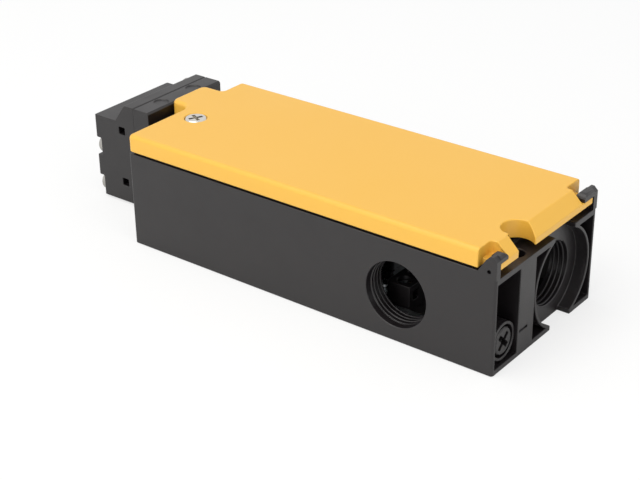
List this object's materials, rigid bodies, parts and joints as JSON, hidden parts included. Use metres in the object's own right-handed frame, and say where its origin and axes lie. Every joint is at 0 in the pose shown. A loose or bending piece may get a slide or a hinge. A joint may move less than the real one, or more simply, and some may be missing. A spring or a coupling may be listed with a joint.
{
  "type": "tongue interlock switch",
  "caption": "Safety interlock switch for a machine guard: black housing, yellow screwed cover, end head with tongue slots, solenoid guard lock and threaded cable entries.",
  "frame": {"origin": "bottom centre of the whole outline, on the plane of the mounting face", "axes": "+X from the operating head to the cable end, +Z out of the mounting face through the yellow cover, +Y to the side of the housing that the head and the end cable entry stand nearer to"},
  "size_m": [0.17, 0.055, 0.038],
  "materials": {
    "black_plastic": "satin moulded, glass-filled polyamide",
    "yellow_cover": "satin moulded, yellow polyamide",
    "white_acetal": "moulded acetal",
    "dark_phenolic": "moulded phenolic",
    "dark_rubber": "matt",
    "plated_steel": "bright zinc plated",
    "bright_nickel": "bright nickel plated",
    "steel": "turned",
    "zinc_casting": "sintered",
    "brass": "turned",
    "spring_steel": "drawn",
    "copper_winding": "enamelled wire"
  },
  "bodies": {
    "housing": {"base_housing": "black_plastic", "cover_insert": "brass", "head_cap": "black_plastic", "head_base": "black_plastic", "head_screws": "bright_nickel", "neck_screws": "plated_steel", "slot_plug": "black_plastic", "rotor_axle": "steel", "rod_spring": "spring_steel", "contact_block": "dark_phenolic", "fixed_contacts": "brass", "terminal_screws": "bright_nickel", "chassis": "plated_steel", "chassis_screws": "plated_steel", "lever_pin": "steel", "solenoid_yoke": "plated_steel", "solenoid_bobbin": "white_acetal", "solenoid_coil": "copper_winding", "solenoid_core": "steel", "armature_spring": "spring_steel", "coil_terminal_block": "black_plastic", "coil_terminal_screws": "plated_steel"},
    "cover": {"cover": "yellow_cover", "cover_gasket": "dark_rubber", "cover_screw_ring": "dark_rubber"},
    "cover_screw": {"cover_screw": "bright_nickel"},
    "rotor": {"cam_rotor": "zinc_casting"},
    "rod": {"lock_rod": "steel", "bridge_carrier": "white_acetal", "contact_bridges": "brass", "bridge_springs": "spring_steel"},
    "armature": {"armature": "steel", "armature_collar": "plated_steel", "push_pin": "brass"},
    "lever": {"lock_lever": "plated_steel"},
    "release": {"release_screw": "black_plastic", "release_barrel": "white_acetal", "release_o_ring": "dark_rubber"},
    "strip": {"release_strip": "plated_steel"}
  },
  "joints": [
    {"name": "cover_tilt", "type": "hinge", "parent": "housing", "child": "cover", "pos_m": [0.0817, 0, 0.03445], "axis": [0, 1, 0], "range_deg": [0, 45]},
    {"name": "cover_screw_turn", "type": "hinge", "parent": "cover", "child": "cover_screw", "pos_m": [-0.0416, -0.005, 0.03], "axis": [0, 0, 1], "continuous": true},
    {"name": "rotor_turn", "type": "hinge", "parent": "housing", "child": "rotor", "pos_m": [-0.0665, 0.0096, 0.0172], "axis": [0, 0, 1], "range_deg": [0, 60]},
    {"name": "rod_slide", "type": "slide", "parent": "housing", "child": "rod", "axis": [1, 0, 0], "range_m": [-0.004, 0], "deforming": ["rod_spring"]},
    {"name": "armature_slide", "type": "slide", "parent": "housing", "child": "armature", "axis": [-1, 0, 0], "range_m": [0, 0.00296], "stiffness_N_per_m": 350, "deforming": ["armature_spring"]},
    {"name": "lever_swing", "type": "hinge", "parent": "housing", "child": "lever", "pos_m": [-0.0244, 0.0012, 0.0172], "axis": [0, 0, 1], "range_deg": [-11.5, 0]},
    {"name": "release_turn", "type": "hinge", "parent": "housing", "child": "release", "pos_m": [0.08, -0.0207, 0.008], "axis": [1, 0, 0], "range_deg": [0, 90]},
    {"name": "strip_slide", "type": "slide", "parent": "housing", "child": "strip", "axis": [1, 0, 0], "range_m": [0, 0.0022]}
  ],
  "couplings": [
    {"joint": "rod_slide", "follows": "rotor_turn", "m_per_rad": -0.0038197},
    {"joint": "lever_swing", "follows": "armature_slide", "rad_per_m": -67.808},
    {"joint": "release_turn", "follows": "strip_slide", "rad_per_m": 713.99}
  ]
}
